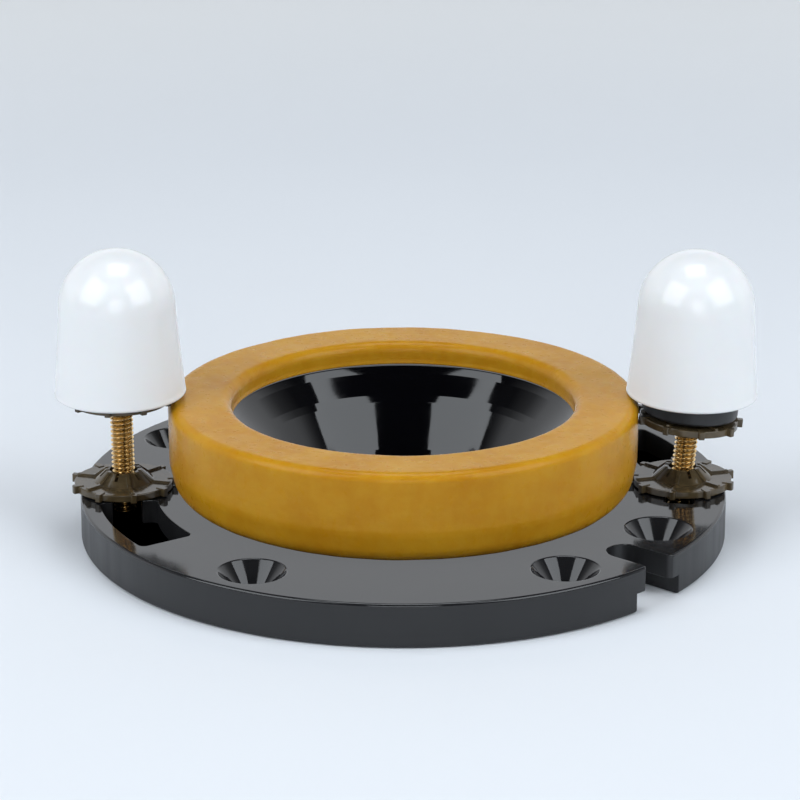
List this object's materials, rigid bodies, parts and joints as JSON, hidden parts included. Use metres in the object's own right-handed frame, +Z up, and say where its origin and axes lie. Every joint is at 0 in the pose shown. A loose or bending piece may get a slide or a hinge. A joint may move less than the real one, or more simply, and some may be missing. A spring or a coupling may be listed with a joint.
{
  "type": "toilet flange",
  "caption": "Round flat toilet flange ring with T-slots for closet bolts, a wax ring with a funnel horn on top, and ribbed retainers and domed caps on the bolts.",
  "frame": {"origin": "centre of the flange ring at floor level, under the bore", "axes": "+Z up along the outlet's axis, +X towards the right closet bolt, -Y towards the viewer"},
  "size_m": [0.1926, 0.1778, 0.08],
  "materials": {
    "black_abs": "satin gloss",
    "wax": "soft waxy sheen",
    "black_polyethylene": "glossy",
    "brass": "bright rolled thread",
    "bronze_plastic": "semi-gloss",
    "black_plastic": "satin",
    "white_plastic": "high gloss"
  },
  "bodies": {
    "flange": {"closet_flange": "black_abs"},
    "wax_ring": {"wax_ring": "wax", "wax_ring_horn": "black_polyethylene"},
    "left_bolt": {"left_closet_bolt": "brass"},
    "left_lower_retainer": {"left_lower_retainer": "bronze_plastic"},
    "left_upper_stack": {"left_upper_retainer": "bronze_plastic", "left_cap_base": "black_plastic", "left_washer": "brass"},
    "left_nut": {"left_nut": "brass"},
    "left_cap": {"left_cap": "white_plastic"},
    "right_bolt": {"right_closet_bolt": "brass"},
    "right_lower_retainer": {"right_lower_retainer": "bronze_plastic"},
    "right_upper_stack": {"right_upper_retainer": "bronze_plastic", "right_cap_base": "black_plastic", "right_washer": "brass"},
    "right_nut": {"right_nut": "brass"},
    "right_cap": {"right_cap": "white_plastic"}
  },
  "joints": [
    {"name": "wax_ring_turn", "type": "hinge", "parent": "flange", "child": "wax_ring", "pos_m": [0, 0, 0.0123], "axis": [0, 0, 1], "continuous": true},
    {"name": "left_bolt_travel", "type": "hinge", "parent": "flange", "child": "left_bolt", "pos_m": [0, 0, 0.006], "axis": [0, 0, 1], "range_deg": [-9, 29]},
    {"name": "left_lower_retainer_turn", "type": "hinge", "parent": "left_bolt", "child": "left_lower_retainer", "pos_m": [-0.07707, -0.00135, 0.0133], "axis": [0, 0, 1], "continuous": true},
    {"name": "left_stack_slide", "type": "slide", "parent": "left_bolt", "child": "left_upper_stack", "axis": [-0.014, -0.0002, 0.9999], "range_m": [0, 0.00889]},
    {"name": "left_nut_turn", "type": "hinge", "parent": "left_upper_stack", "child": "left_nut", "pos_m": [-0.07758, -0.00135, 0.05135], "axis": [-0.014, -0.0002, 0.9999], "range_deg": [0, 2520.1]},
    {"name": "left_cap_lift", "type": "slide", "parent": "left_upper_stack", "child": "left_cap", "axis": [-0.014, -0.0002, 0.9999], "range_m": [0, 0.045]},
    {"name": "right_bolt_travel", "type": "hinge", "parent": "flange", "child": "right_bolt", "pos_m": [0, 0, 0.006], "axis": [0, 0, 1], "range_deg": [-9, 29]},
    {"name": "right_lower_retainer_turn", "type": "hinge", "parent": "right_bolt", "child": "right_lower_retainer", "pos_m": [0.07713, 0.00135, 0.0133], "axis": [0, 0, 1], "continuous": true},
    {"name": "right_stack_slide", "type": "slide", "parent": "right_bolt", "child": "right_upper_stack", "axis": [0.0871, 0.0015, 0.9962], "range_m": [0, 0.01524]},
    {"name": "right_nut_turn", "type": "hinge", "parent": "right_upper_stack", "child": "right_nut", "pos_m": [0.07969, 0.00139, 0.04412], "axis": [0.0871, 0.0015, 0.9962], "range_deg": [0, 4320.1]},
    {"name": "right_cap_lift", "type": "slide", "parent": "right_upper_stack", "child": "right_cap", "axis": [0.0262, 0.0005, 0.9997], "range_m": [0, 0.045]}
  ],
  "couplings": [
    {"joint": "left_nut_turn", "follows": "left_stack_slide", "rad_per_m": 4947.4},
    {"joint": "right_nut_turn", "follows": "right_stack_slide", "rad_per_m": 4947.4}
  ]
}
